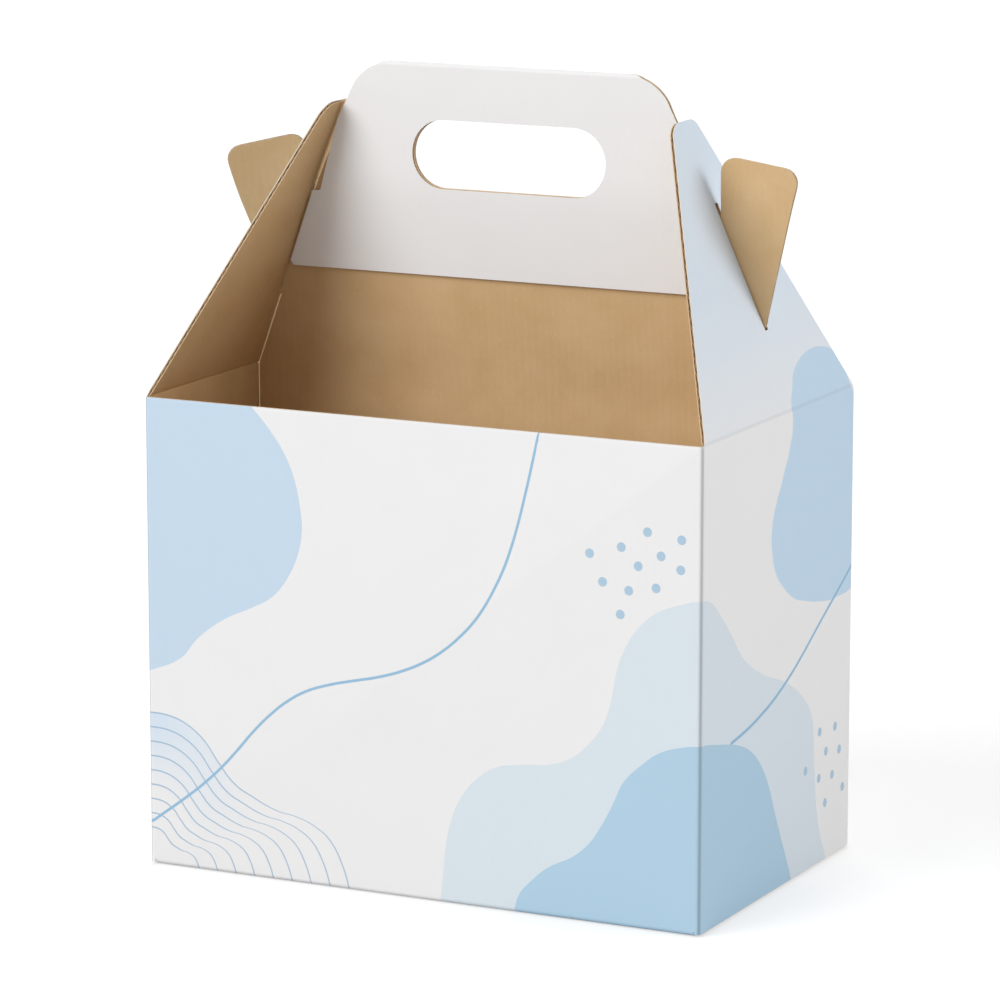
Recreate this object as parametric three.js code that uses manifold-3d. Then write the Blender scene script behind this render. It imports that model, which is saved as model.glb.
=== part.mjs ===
// Gable box: a carry carton folded from one die-cut sheet of white-lined kraft microflute board.
// Four walls and a floor make the open body. The side walls run up into two gable flaps that lean in.
// The front floor panel turns up into a centre partition, which rises between the gables as the handle.
// The handle folds over at the top, so that its front ply shows the white side of the board again.
// Two ears on the back ply hook out through a slit in each gable and lock the top.
// Millimetres, +Z up, front towards -Y, origin on the floor under the middle of the body.

import * as THREE from 'three';
import { mergeVertices } from 'three/addons/utils/BufferGeometryUtils.js';
import Module from 'manifold-3d';

// Driving dimensions of the body
const BODY_WIDTH = 240;
const BODY_DEPTH = 148;
const BODY_HEIGHT = 189;
const BOARD = 1.6;
const FOLD_RADIUS = 1.1;
const SIDE_GAP = 1;

// Gable flaps, with their tip given along the flap and by where it ends in front and behind
const GABLE_LEAN = THREE.MathUtils.degToRad(22);
const GABLE_LENGTH = 125;
const GABLE_TIP_UP = 119;
const GABLE_TIP_FRONT = -5.5;
const GABLE_TIP_BACK = 15;
const GABLE_TIP_FRONT_RADIUS = 11;
const GABLE_TIP_BACK_RADIUS = 6;
const GABLE_SHOULDER = 0.5;
const SLIT_WIDTH = 2.8;
const SLIT_CORNER_RADIUS = 0.8;
const SLIT_BOTTOM = 30;
const SLIT_TOP = 79;

// Centre partition: its front face at the foot and at the handle, and the soft bow between them
const PARTITION_FOOT_Y = 15;
const HANDLE_Y = 7;
const BOW_START = -8;
const BOW_RADIUS = 150;
const BOW_ANGLE = THREE.MathUtils.degToRad(5.7);

// Handle, with heights measured up from the rim of the body
const HANDLE_TOP = 127.5;
const HANDLE_TAPER = 2;
const HANDLE_CORNER_RADIUS = 18;
const FRONT_PLY_BOTTOM = 42.5;
const FRONT_PLY_NIP = 2;
const CREST_ROOM = 0.3;
const HAND_HOLE_WIDTH = 84.5;
const HAND_HOLE_HEIGHT = 27.5;
const HAND_HOLE_MIDDLE = 91.5;
const HAND_HOLE_FLAT = 0.1;

// Ears, measured in from the outer face of a side wall and up from the rim
const EAR_POINT = { inset: 12.6, up: 31 };
const EAR_OUTER = { inset: -3.5, up: 93.6 };
const EAR_INNER = { inset: 29.6, up: 98.2 };
const EAR_CORNER_RADIUS = 6;
const NOTCH_BOTTOM = 72.5;
const NOTCH_RADIUS = 1.2;

// Recess in the edge of the front ply, beside the notch
const RECESS_BOTTOM = 74;
const RECESS_TOP = 103;
const RECESS_WIDTH = 3.4;

// Glued tabs inside the body
const SEAM_TAB_WIDTH = 27;
const SEAM_TAB_TAPER = 12;
const FOOT_TAB_HEIGHT = 30;
const REAR_CORNER_GAP = 0.4;
const GLUE_OVERLAP = 0.03;

// Steps along round stretches
const FOLD_STEPS = 6;
const BOW_STEPS = 5;
const CORNER_STEPS = 10;

// Points of one geometry that lie closer than this are one point
const MERGE_TOLERANCE = 1e-4;

const wasm = await Module();
wasm.setup();

// A closed three.js geometry as a solid for cutting and joining
function solidOf(geometry, matrix) {
  const bare = new THREE.BufferGeometry();
  bare.setAttribute('position', geometry.getAttribute('position').clone());
  if (geometry.index) bare.setIndex(geometry.index.clone());
  if (matrix) bare.applyMatrix4(matrix);
  const merged = mergeVertices(bare, MERGE_TOLERANCE);
  const vertProperties = new Float32Array(merged.getAttribute('position').array);
  const triVerts = new Uint32Array(merged.index.array);
  return new wasm.Manifold(new wasm.Mesh({ numProp: 3, vertProperties, triVerts }));
}

// The way back from a solid to a three.js geometry
function geometryOf(solid) {
  const mesh = solid.getMesh();
  const geometry = new THREE.BufferGeometry();
  geometry.setAttribute('position', new THREE.BufferAttribute(new Float32Array(mesh.vertProperties), 3));
  geometry.setIndex(new THREE.BufferAttribute(new Uint32Array(mesh.triVerts), 1));
  geometry.computeVertexNormals();
  return geometry;
}

// A plane of drawing: right and up on paper are two directions of the object
function sheetFrame(right, up, origin) {
  const depth = new THREE.Vector3().crossVectors(right, up);
  return new THREE.Matrix4().makeBasis(right, up, depth).setPosition(origin);
}

// A drawn outline pushed through a distance along the third direction of its frame
function prism(shape, frame, from, to, steps = CORNER_STEPS) {
  const geometry = new THREE.ExtrudeGeometry(shape, {
    depth: to - from,
    bevelEnabled: false,
    curveSegments: steps,
  });
  geometry.translate(0, 0, from);
  return solidOf(geometry, frame);
}

// The section of a folded strip of board: a middle line walked in straights and bends
function walk(start, heading, moves) {
  const points = [];
  let at = new THREE.Vector2(...start);
  let angle = heading;
  const mark = () => points.push({ at: at.clone(), angle });
  mark();
  for (const move of moves) {
    if (move.straight !== undefined) {
      at.add(new THREE.Vector2(Math.cos(angle), Math.sin(angle)).multiplyScalar(move.straight));
      mark();
      continue;
    }
    const side = Math.sign(move.bend);
    const steps = move.steps ?? FOLD_STEPS;
    const normal = new THREE.Vector2(-Math.sin(angle), Math.cos(angle)).multiplyScalar(side * move.radius);
    const centre = at.clone().add(normal);
    const arm = normal.clone().negate();
    for (let i = 1; i <= steps; i++) {
      const turn = (move.bend * i) / steps;
      at = centre.clone().add(arm.clone().rotateAround(new THREE.Vector2(), turn));
      angle = heading + turn;
      mark();
    }
    heading = angle;
  }
  return points;
}

// The middle line of a strip made as thick as the board
function stripShape(points, thickness = BOARD) {
  const offset = (p, side) => new THREE.Vector2(-Math.sin(p.angle), Math.cos(p.angle))
    .multiplyScalar((side * thickness) / 2)
    .add(p.at);
  const near = points.map((p) => offset(p, 1));
  const far = points.map((p) => offset(p, -1)).reverse();
  return new THREE.Shape([...near, ...far]);
}

// A closed outline through corner points, each rounded by its own radius
function roundedOutline(corners) {
  const shape = new THREE.Shape();
  const count = corners.length;
  corners.forEach((corner, i) => {
    const here = new THREE.Vector2(corner[0], corner[1]);
    const before = new THREE.Vector2(...corners[(i + count - 1) % count].slice(0, 2));
    const after = new THREE.Vector2(...corners[(i + 1) % count].slice(0, 2));
    const radius = corner[2] ?? 0;
    const back = before.sub(here).normalize();
    const ahead = after.sub(here).normalize();
    if (!radius) {
      if (i) shape.lineTo(here.x, here.y);
      else shape.moveTo(here.x, here.y);
      return;
    }
    const half = Math.acos(THREE.MathUtils.clamp(back.dot(ahead), -1, 1)) / 2;
    const reach = radius / Math.tan(half);
    const centre = back.clone().add(ahead).normalize().multiplyScalar(radius / Math.sin(half)).add(here);
    const first = back.clone().multiplyScalar(reach).add(here);
    const last = ahead.clone().multiplyScalar(reach).add(here);
    const start = Math.atan2(first.y - centre.y, first.x - centre.x);
    const end = Math.atan2(last.y - centre.y, last.x - centre.x);
    const left = back.x * ahead.y - back.y * ahead.x < 0;
    if (i) shape.lineTo(first.x, first.y);
    else shape.moveTo(first.x, first.y);
    shape.absarc(centre.x, centre.y, radius, start, end, !left);
  });
  return shape;
}

const X = new THREE.Vector3(1, 0, 0);
const Y = new THREE.Vector3(0, 1, 0);
const Z = new THREE.Vector3(0, 0, 1);
const ORIGIN = new THREE.Vector3();
const QUARTER = Math.PI / 2;
const HALF_W = BODY_WIDTH / 2;
const HALF_D = BODY_DEPTH / 2;
const OUTER_FOLD = FOLD_RADIUS + BOARD / 2;
const plan = sheetFrame(X, Y, ORIGIN);
const profile = sheetFrame(Y, Z, ORIGIN);
const elevation = sheetFrame(X, Z, ORIGIN);

// Walls: one strip from the free rear edge of the left wall, round the box, to the seam tab
function walls() {
  const left = -HALF_W + BOARD / 2;
  const rearEdge = HALF_D - REAR_CORNER_GAP;
  const sideRun = rearEdge + HALF_D - OUTER_FOLD;
  const moves = [
    { straight: sideRun },
    { bend: QUARTER, radius: FOLD_RADIUS },
    { straight: BODY_WIDTH - 2 * OUTER_FOLD },
    { bend: QUARTER, radius: FOLD_RADIUS },
    { straight: BODY_DEPTH - 2 * OUTER_FOLD },
    { bend: QUARTER, radius: FOLD_RADIUS },
    { straight: BODY_WIDTH - 2 * OUTER_FOLD - BOARD },
    { bend: QUARTER, radius: FOLD_RADIUS },
  ];
  const ring = prism(stripShape(walk([left, rearEdge], -QUARTER, moves)), plan, OUTER_FOLD, BODY_HEIGHT);
  const inner = HALF_D - OUTER_FOLD;
  const tabShape = new THREE.Shape([
    new THREE.Vector2(inner, OUTER_FOLD),
    new THREE.Vector2(inner, BODY_HEIGHT),
    new THREE.Vector2(HALF_D - SEAM_TAB_WIDTH, BODY_HEIGHT - SEAM_TAB_TAPER),
    new THREE.Vector2(HALF_D - SEAM_TAB_WIDTH, OUTER_FOLD + SEAM_TAB_TAPER),
  ]);
  const tabFace = -HALF_W + BOARD;
  const tab = prism(tabShape, profile, tabFace - GLUE_OVERLAP, tabFace + BOARD);
  return ring.add(tab);
}

// Lower edges of the side walls, which reach the ground between the floor folds
function sideFeet() {
  const reach = HALF_D - OUTER_FOLD - SIDE_GAP;
  const inner = HALF_W - BOARD;
  const foot = new THREE.Shape([
    new THREE.Vector2(inner, -reach),
    new THREE.Vector2(HALF_W, -reach),
    new THREE.Vector2(HALF_W, reach),
    new THREE.Vector2(inner, reach),
  ]);
  const right = prism(foot, plan, 0, OUTER_FOLD);
  return right.add(right.mirror([1, 0, 0]));
}

// The bow of the partition and the handle above it, as moves of one strip
const BOW_STRAIGHT = (PARTITION_FOOT_Y - HANDLE_Y - 2 * BOW_RADIUS * (1 - Math.cos(BOW_ANGLE)))
  / Math.sin(BOW_ANGLE);
const BOW_RISE = 2 * BOW_RADIUS * Math.sin(BOW_ANGLE) + BOW_STRAIGHT * Math.cos(BOW_ANGLE);
const BOW_END = BOW_START + BOW_RISE;

function bowMoves(lean) {
  return [
    { bend: lean, radius: BOW_RADIUS, steps: BOW_STEPS },
    { straight: BOW_STRAIGHT },
    { bend: -lean, radius: BOW_RADIUS, steps: BOW_STEPS },
  ];
}

// How far back the front face of the partition stands at a height above the rim
function partitionFace(up) {
  const firstEnd = BOW_START + BOW_RADIUS * Math.sin(BOW_ANGLE);
  const firstShift = BOW_RADIUS * (1 - Math.cos(BOW_ANGLE));
  const straightShift = (up - firstEnd) * Math.tan(BOW_ANGLE);
  return PARTITION_FOOT_Y - firstShift - straightShift;
}

// Half the width of the partition and of the handle, which follow the inner faces of the gables
function insideHalf(up) {
  const slope = Math.max(up, 0) * Math.tan(GABLE_LEAN);
  return HALF_W - slope - BOARD / Math.cos(GABLE_LEAN) - SIDE_GAP;
}

// A corner given on the right side, with its height above the rim, turned into paper coordinates
const rightCorner = (half, up, radius) => [half, BODY_HEIGHT + up, radius];

// An outline drawn on the right and repeated in mirror on the left
function bothSides(right) {
  const left = right.map(([x, z, radius]) => [-x, z, radius]).reverse();
  return roundedOutline([...right, ...left]);
}

// The top corner of the handle, which narrows a little more than the gables do
const handleCorner = rightCorner(
  insideHalf(HANDLE_TOP) - HANDLE_TAPER,
  HANDLE_TOP + CREST_ROOM,
  HANDLE_CORNER_RADIUS,
);

function handHole() {
  const radius = (HAND_HOLE_HEIGHT - HAND_HOLE_FLAT) / 2;
  const half = HAND_HOLE_WIDTH / 2;
  const low = HAND_HOLE_MIDDLE - HAND_HOLE_HEIGHT / 2;
  const high = HAND_HOLE_MIDDLE + HAND_HOLE_HEIGHT / 2;
  const right = [rightCorner(half, low, radius), rightCorner(half, high, radius)];
  return prism(bothSides(right), elevation, -HALF_D, HALF_D, CORNER_STEPS);
}

// Outline of the back ply: partition, ears with their notches, and the handle
function backPlyOutline() {
  const ear = (corner, radius) => rightCorner(HALF_W - corner.inset, corner.up, radius);
  const right = [
    [HALF_W - BOARD - SIDE_GAP, OUTER_FOLD],
    rightCorner(insideHalf(0), 0),
    rightCorner(insideHalf(SLIT_BOTTOM), SLIT_BOTTOM),
    ear(EAR_POINT, NOTCH_RADIUS),
    ear(EAR_OUTER, EAR_CORNER_RADIUS),
    ear(EAR_INNER, EAR_CORNER_RADIUS),
    rightCorner(HALF_W - EAR_INNER.inset, NOTCH_BOTTOM, NOTCH_RADIUS),
    rightCorner(insideHalf(NOTCH_BOTTOM), NOTCH_BOTTOM, NOTCH_RADIUS),
    handleCorner,
  ];
  return bothSides(right);
}

// Outline of the front ply, with a nipped lower corner and the recess beside the notch
function frontPlyOutline() {
  const right = [
    rightCorner(insideHalf(FRONT_PLY_BOTTOM) - FRONT_PLY_NIP, FRONT_PLY_BOTTOM),
    rightCorner(insideHalf(FRONT_PLY_BOTTOM + FRONT_PLY_NIP), FRONT_PLY_BOTTOM + FRONT_PLY_NIP),
    rightCorner(insideHalf(RECESS_BOTTOM), RECESS_BOTTOM),
    rightCorner(insideHalf(RECESS_BOTTOM) - RECESS_WIDTH, RECESS_BOTTOM, RECESS_WIDTH / 3),
    rightCorner(insideHalf(RECESS_TOP), RECESS_TOP),
    handleCorner,
  ];
  return bothSides(right);
}

// Centre partition and back ply of the handle as one strip, cut to its outline
function partition() {
  const rise = BODY_HEIGHT - OUTER_FOLD + BOW_START;
  const handleRise = HANDLE_TOP - BOARD - BOW_END;
  const start = [PARTITION_FOOT_Y + BOARD / 2, OUTER_FOLD];
  const moves = [{ straight: rise }, ...bowMoves(BOW_ANGLE), { straight: handleRise }];
  const strip = prism(stripShape(walk(start, QUARTER, moves)), profile, -BODY_WIDTH, BODY_WIDTH);
  return strip.intersect(prism(backPlyOutline(), elevation, -HALF_D, HALF_D));
}

// Front ply, from the fold at the top of the handle down to its cut edge
function frontPly() {
  const handleRise = HANDLE_TOP - BOARD - BOW_END;
  const start = [HANDLE_Y - BOARD / 2 + GLUE_OVERLAP, BODY_HEIGHT + HANDLE_TOP - BOARD];
  const moves = [
    { straight: handleRise },
    { bend: BOW_ANGLE, radius: BOW_RADIUS + BOARD, steps: BOW_STEPS },
    { straight: BOW_STRAIGHT },
  ];
  const strip = prism(stripShape(walk(start, -QUARTER, moves)), profile, -BODY_WIDTH, BODY_WIDTH);
  return strip.intersect(prism(frontPlyOutline(), elevation, -HALF_D, HALF_D));
}

// The fold that joins the two plies of the handle
function handleFold() {
  const crest = new THREE.Shape();
  crest.absarc(HANDLE_Y, BODY_HEIGHT + HANDLE_TOP - BOARD, BOARD, 0, Math.PI, false);
  const strip = prism(crest, profile, -BODY_WIDTH, BODY_WIDTH, 2 * FOLD_STEPS);
  return strip.intersect(prism(backPlyOutline(), elevation, -HALF_D, HALF_D));
}

// Floor: the front panel runs from the front wall to the partition, the rear one meets it there
function floorPanels() {
  const half = HALF_W - BOARD - SIDE_GAP;
  const drop = OUTER_FOLD;
  const frontMoves = [
    { bend: QUARTER, radius: FOLD_RADIUS },
    { straight: PARTITION_FOOT_Y + BOARD + HALF_D - 2 * OUTER_FOLD },
    { bend: QUARTER, radius: FOLD_RADIUS },
  ];
  const front = walk([-HALF_D + BOARD / 2, drop], -QUARTER, frontMoves);
  const rearMoves = [
    { bend: -QUARTER, radius: FOLD_RADIUS },
    { straight: HALF_D - PARTITION_FOOT_Y - BOARD - 2 * OUTER_FOLD },
    { bend: -QUARTER, radius: FOLD_RADIUS },
    { straight: FOOT_TAB_HEIGHT - OUTER_FOLD },
  ];
  const rear = walk([HALF_D - BOARD / 2, drop], -QUARTER, rearMoves);
  return prism(stripShape(front), profile, -half, half).add(prism(stripShape(rear), profile, -half, half));
}

// A gable flap on the right side, leaning in over its crease, with the slit for the ear
function gable() {
  const start = [HALF_W - BOARD / 2, BODY_HEIGHT];
  const moves = [{ bend: GABLE_LEAN, radius: FOLD_RADIUS }, { straight: GABLE_LENGTH }];
  const path = walk(start, QUARTER, moves);
  const depthwise = sheetFrame(Z, X, ORIGIN);
  const strip = stripShape(path.map((p) => ({
    at: new THREE.Vector2(p.at.y, p.at.x),
    angle: QUARTER - p.angle,
  })));
  const board = prism(strip, depthwise, -HALF_D, HALF_D);
  const along = new THREE.Vector3(-Math.sin(GABLE_LEAN), 0, Math.cos(GABLE_LEAN));
  const face = sheetFrame(Y, along, new THREE.Vector3(HALF_W, 0, BODY_HEIGHT));
  const rise = Math.cos(GABLE_LEAN);
  const flap = roundedOutline([
    [-HALF_D + OUTER_FOLD, -BOARD],
    [HALF_D - OUTER_FOLD, -BOARD],
    [HALF_D - BOARD, GABLE_SHOULDER],
    [GABLE_TIP_BACK, GABLE_TIP_UP, GABLE_TIP_BACK_RADIUS],
    [GABLE_TIP_FRONT, GABLE_TIP_UP, GABLE_TIP_FRONT_RADIUS],
    [-HALF_D + BOARD, GABLE_SHOULDER],
  ]);
  const slitAt = (up, side) => {
    const middle = partitionFace(up) + BOARD / 2;
    return [middle + (side * SLIT_WIDTH) / 2, up / rise, SLIT_CORNER_RADIUS];
  };
  const slit = roundedOutline([
    slitAt(SLIT_BOTTOM, -1),
    slitAt(SLIT_BOTTOM, 1),
    slitAt(SLIT_TOP, 1),
    slitAt(SLIT_TOP, -1),
  ]);
  const reach = 3 * BOARD;
  return board.intersect(prism(flap, face, -reach, reach)).subtract(prism(slit, face, -reach, reach));
}

function cartonSolid() {
  const right = gable();
  const gables = right.add(right.mirror([1, 0, 0]));
  const handle = partition().add(frontPly()).add(handleFold()).subtract(handHole());
  return walls().add(sideFeet()).add(floorPanels()).add(gables).add(handle);
}

const box = new THREE.Group();
const carton = new THREE.Mesh(
  geometryOf(cartonSolid()),
  new THREE.MeshStandardMaterial({ color: 0xf0eeec, roughness: 0.62, metalness: 0 }),
);
carton.name = 'folded_carton';
box.add(carton);

export default box;
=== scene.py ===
# %% [markdown]
# # A gable box in microflute board
#
# The real box is one die-cut sheet: creased, folded, glued, and locked by two ears.
# The board is three papers: a white coated liner with the print, a waved layer, and a brown kraft liner.
# We build it the same way. Each stretch of the sheet is drawn flat, with its holes, and given its three
# papers. Then a folding function carries every point of the flat sheet to its place in the box.

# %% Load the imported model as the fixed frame
import math

import bmesh
import bpy
from mathutils import Matrix, Vector


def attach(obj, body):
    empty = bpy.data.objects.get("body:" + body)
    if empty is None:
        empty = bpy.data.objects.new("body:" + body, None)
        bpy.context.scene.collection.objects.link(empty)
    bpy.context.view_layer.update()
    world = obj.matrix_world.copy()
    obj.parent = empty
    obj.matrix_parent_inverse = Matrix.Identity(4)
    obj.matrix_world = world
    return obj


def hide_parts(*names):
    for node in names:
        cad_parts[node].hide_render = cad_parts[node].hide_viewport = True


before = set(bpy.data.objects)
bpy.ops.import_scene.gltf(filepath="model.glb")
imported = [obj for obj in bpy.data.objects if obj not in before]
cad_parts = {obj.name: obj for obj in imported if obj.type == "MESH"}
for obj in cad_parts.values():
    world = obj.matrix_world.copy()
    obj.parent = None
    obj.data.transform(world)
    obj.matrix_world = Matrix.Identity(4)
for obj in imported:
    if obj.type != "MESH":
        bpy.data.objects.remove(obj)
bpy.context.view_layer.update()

# %% [markdown]
# ## The sizes of the box
#
# All sizes are in metres and repeat the driving dimensions of the CAD part. Heights marked "up" are
# measured from the rim, which is where the gables crease over.

# %% Body, board and folds
BODY_W, BODY_D, BODY_H = 0.240, 0.148, 0.189
BOARD = 0.0016
FOLD_R = 0.0011
OUTER = FOLD_R + BOARD / 2
SIDE_GAP = 0.001
SEAM_IN = 0.0004
HALF_W, HALF_D = BODY_W / 2, BODY_D / 2
QUARTER = math.pi / 2

# %% Gables, partition, handle and ears
LEAN = math.radians(22)
GABLE_TIP_UP = 0.119
GABLE_TIP_FRONT, TIP_FRONT_R = -0.0055, 0.011
GABLE_TIP_BACK, TIP_BACK_R = 0.015, 0.006
SLIT_W, SLIT_LOW, SLIT_HIGH = 0.0028, 0.030, 0.079
FOOT_Y, HANDLE_Y = 0.015, 0.007
BOW_START, BOW_R, BOW_ANGLE = -0.008, 0.150, math.radians(5.7)
HANDLE_TOP, HANDLE_TAPER, HANDLE_CORNER_R = 0.1275, 0.002, 0.018
PLY_BOTTOM, PLY_NIP = 0.0425, 0.002
HOLE_W, HOLE_H, HOLE_UP = 0.0845, 0.0275, 0.0915
NOTCH_UP = 0.0725
TAB_W, TAB_TAPER, FOOT_TAB_H = 0.0246, 0.012, 0.030
GABLE_STRIP = 0.13
print("body", BODY_W, BODY_D, BODY_H, "overall height", BODY_H + HANDLE_TOP)

# %% [markdown]
# ## Folding
#
# A strip of board is a line walked in straights and bends. The walk runs in the middle of the board's
# thickness, so a fold keeps its length. `place` takes a length along the strip and a depth into the board,
# counted from the white face, and returns a point of the strip's section.

# %% A walk through straights and bends
class Walk:
    def __init__(self, start, heading, moves, kraft_side=1):
        self.kraft_side = kraft_side
        self.runs = []
        self.length = 0.0
        point = Vector(start)
        for size, turn, radius in moves:
            run = abs(turn) * radius if turn else size
            self.runs.append((self.length, run, point.copy(), heading, turn, radius))
            self.length += run
            point, heading = self.step(self.runs[-1], run)

    def step(self, run, done):
        _, full, point, heading, turn, radius = run
        if not turn:
            return point + Vector((math.cos(heading), math.sin(heading))) * done, heading
        side = math.copysign(1, turn)
        arm = Vector((-math.sin(heading), math.cos(heading))) * side * radius
        now = heading + turn * done / full
        return point + arm - Vector((-math.sin(now), math.cos(now))) * side * radius, now

    def frame(self, along):
        """Middle point, direction along the strip, and direction to its kraft side"""
        run = self.runs[0]
        for other in self.runs:
            if along >= other[0]:
                run = other
        point, heading = self.step(run, along - run[0])
        ahead = Vector((math.cos(heading), math.sin(heading)))
        return point, ahead, Vector((-ahead.y, ahead.x)) * self.kraft_side

    def place(self, along, depth):
        point, _, across = self.frame(along)
        return point + across * (depth - BOARD / 2)

    def bends(self):
        """Start, end and turn of each bend, as lengths along the strip"""
        return [(r[0], r[0] + r[1], r[4]) for r in self.runs if r[4]]


def straight(size):
    return (size, 0.0, 0.0)


def bend(turn, radius=FOLD_R):
    return (0.0, turn, radius)


# %% The three walks of this box: round the walls, up a gable, and floor to handle
walls_walk = Walk((-HALF_W + BOARD / 2, HALF_D - SEAM_IN), -QUARTER, [
    straight(BODY_D - SEAM_IN - OUTER), bend(QUARTER),
    straight(BODY_W - 2 * OUTER), bend(QUARTER),
    straight(BODY_D - 2 * OUTER), bend(QUARTER),
    straight(BODY_W - 2 * OUTER - BOARD), bend(QUARTER),
    straight(TAB_W),
])
gable_walk = Walk((BOARD / 2, 0.0), QUARTER, [straight(BODY_H), bend(-LEAN), straight(GABLE_STRIP)],
                  kraft_side=-1)
bow_run = (FOOT_Y - HANDLE_Y - 2 * BOW_R * (1 - math.cos(BOW_ANGLE))) / math.sin(BOW_ANGLE)
bow_end = BOW_START + 2 * BOW_R * math.sin(BOW_ANGLE) + bow_run * math.cos(BOW_ANGLE)
rise = HANDLE_TOP - BOARD - bow_end
handle_walk = Walk((-HALF_D + BOARD / 2, OUTER), -QUARTER, [
    bend(QUARTER), straight(FOOT_Y + BOARD + HALF_D - 2 * OUTER), bend(QUARTER),
    straight(BODY_H - OUTER + BOW_START),
    bend(BOW_ANGLE, BOW_R), straight(bow_run), bend(-BOW_ANGLE, BOW_R),
    straight(rise), bend(math.pi, BOARD / 2), straight(rise),
    bend(BOW_ANGLE, BOW_R + BOARD), straight(bow_run), bend(-BOW_ANGLE, BOW_R - BOARD),
])
rear_walk = Walk((HALF_D - BOARD / 2, OUTER), -QUARTER, [
    bend(-QUARTER), straight(HALF_D - FOOT_Y - BOARD - 2 * OUTER), bend(-QUARTER),
    straight(FOOT_TAB_H - OUTER),
], kraft_side=-1)
CREST = handle_walk.runs[8][0] + handle_walk.runs[8][1] / 2
FOOT = handle_walk.runs[3][0]
print("strip lengths", [round(w.length, 4) for w in (walls_walk, gable_walk, handle_walk, rear_walk)])


# %% Where a height above the rim lies along the handle strip, on either side of its crest
SEARCH_STEPS = 40


def back_ply_at(up):
    low, high = FOOT, CREST
    for _ in range(SEARCH_STEPS):
        middle = (low + high) / 2
        if handle_walk.place(middle, BOARD / 2).y < BODY_H + up:
            low = middle
        else:
            high = middle
    return low


def front_ply_at(up):
    return 2 * CREST - back_ply_at(up)


def inside_half(up):
    """Half the width between the gables' inner faces, less the gap"""
    return HALF_W - max(up, 0) * math.tan(LEAN) - BOARD / math.cos(LEAN) - SIDE_GAP


# %% [markdown]
# ## Drawing the flat sheet
#
# An outline is a few corner vertices joined by edges, and a vertex bevel rounds each corner. The fill
# operator then turns outline and holes into faces, as the die cuts the blank. We cut the blank again along
# every fold, finely inside a bend and once beside it, so that only the fold curves and the panels stay flat.

# %% Outline, fill and fold cuts
CORNER_STEPS_PER_METRE, LEAST_CORNER_STEPS = 900, 4
FOLD_STEPS_PER_RADIAN, LEAST_FOLD_STEPS = 5, 6
GENTLE_TURN, GENTLE_STEPS = 0.2, 8
BESIDE_GENTLE, BESIDE_SHARP = 0.004, 0.0004
TOUCH = 1e-7


def draw(bm, corners):
    """A closed loop of edges through (x, y, radius) corners"""
    corners = [c if len(c) == 3 else (*c, 0) for c in corners]
    verts = [bm.verts.new((x, y, 0)) for x, y, _ in corners]
    for i, vert in enumerate(verts):
        bm.edges.new((vert, verts[(i + 1) % len(verts)]))
    count = len(corners)
    for i, (x, y, radius) in enumerate(corners):
        if not radius:
            continue
        before = Vector(corners[i - 1][:2]) - Vector((x, y))
        after = Vector(corners[(i + 1) % count][:2]) - Vector((x, y))
        reach = radius / math.tan(before.angle(after) / 2)
        steps = max(LEAST_CORNER_STEPS, round(radius * CORNER_STEPS_PER_METRE))
        bmesh.ops.bevel(bm, geom=[verts[i]], offset=reach, offset_type="OFFSET", affect="VERTICES",
                        segments=steps, profile=0.5, material=-1)


def both_sides(right):
    return list(right) + [(-c[0], *c[1:]) for c in reversed(right)]


def fold_cuts(walk):
    """Lengths at which the sheet is cut: finely through each bend, and once beside it at either end"""
    cuts = []
    for start, end, turn in walk.bends():
        gentle = abs(turn) < GENTLE_TURN
        sharp_steps = max(LEAST_FOLD_STEPS, round(abs(turn) * FOLD_STEPS_PER_RADIAN))
        steps = GENTLE_STEPS if gentle else sharp_steps
        cuts += [start + (end - start) * i / steps for i in range(steps + 1)]
        beside = BESIDE_GENTLE if gentle else BESIDE_SHARP
        cuts += [start - beside, end + beside]
    return cuts


def cut_sheet(bm, along_x=(), along_y=()):
    for axis, cuts in ((0, along_x), (1, along_y)):
        normal = Vector((axis == 0, axis == 1, 0))
        for cut in cuts:
            geom = bm.verts[:] + bm.edges[:] + bm.faces[:]
            bmesh.ops.bisect_plane(bm, geom=geom, dist=TOUCH, plane_co=normal * cut, plane_no=normal)


def flat_sheet(loops):
    bm = bmesh.new()
    for loop in loops:
        draw(bm, loop)
    bmesh.ops.triangle_fill(bm, use_beauty=True, use_dissolve=False, edges=bm.edges[:], normal=(0, 0, 1))
    return bm


# %% [markdown]
# ## Three papers
#
# From the flat sheet we take three closed bodies. The white liner and the kraft liner are the sheet made
# solid at either face. The waved paper only shows at cut edges, so a ribbon of it follows every edge: the
# edge is divided finely, lifted to the wave, and extruded a few millimetres into the sheet.

# %% Liner and wave sizes
LINER = 0.00034
FLUTE_PITCH = 0.0032
FLUTE_PAPER = 0.00022
GLUED_IN = 0.00004
FLUTE_HEIGHT = (BOARD - FLUTE_PAPER) / 2 - LINER + GLUED_IN
STEPS_PER_WAVE = 7
SHARE_ALONG_WAVE = 14
RIBBON = 0.0035
EDGE_BACK = 0.00012


def liner(sheet, low, across_cuts, along_cuts):
    """The sheet made solid between two depths, then cut for its folds"""
    bm = sheet.copy()
    bmesh.ops.translate(bm, verts=bm.verts[:], vec=(0, 0, low))
    bmesh.ops.recalc_face_normals(bm, faces=bm.faces[:])
    if sum(face.normal.z for face in bm.faces) > 0:
        bmesh.ops.reverse_faces(bm, faces=bm.faces[:])
    bmesh.ops.solidify(bm, geom=bm.faces[:], thickness=LINER)
    lowest = min(vert.co.z for vert in bm.verts)
    bmesh.ops.translate(bm, verts=bm.verts[:], vec=(0, 0, low - lowest))
    bmesh.ops.recalc_face_normals(bm, faces=bm.faces[:])
    cut_sheet(bm, across_cuts, along_cuts)
    return bm


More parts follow.
